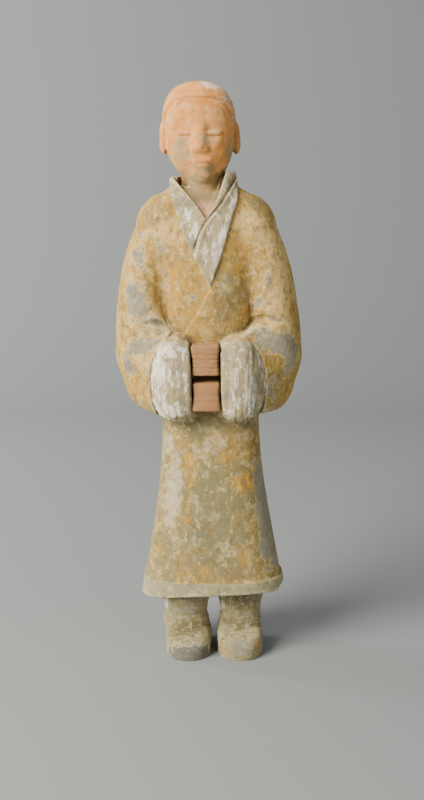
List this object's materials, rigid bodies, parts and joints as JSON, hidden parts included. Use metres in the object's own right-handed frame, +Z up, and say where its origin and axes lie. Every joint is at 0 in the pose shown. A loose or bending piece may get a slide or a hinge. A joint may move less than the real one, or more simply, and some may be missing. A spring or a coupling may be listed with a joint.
{
  "type": "tomb figurine",
  "caption": "Standing attendant of painted grey earthenware in a long crossed-over robe, hands held together at the waist with an empty slot between them.",
  "frame": {"origin": "on the ground, under the middle of the figure's bounding box", "axes": "+Z up from the soles to the crown, -Y the way the figure faces, +X to the figure's left"},
  "size_m": [0.1816, 0.114, 0.561],
  "materials": {
    "painted_earthenware": "unglazed grey earthenware with worn ochre, white and orange mineral paint over a thin white slip"
  },
  "bodies": {
    "root": {"attendant_figure": "painted_earthenware"}
  },
  "joints": []
}
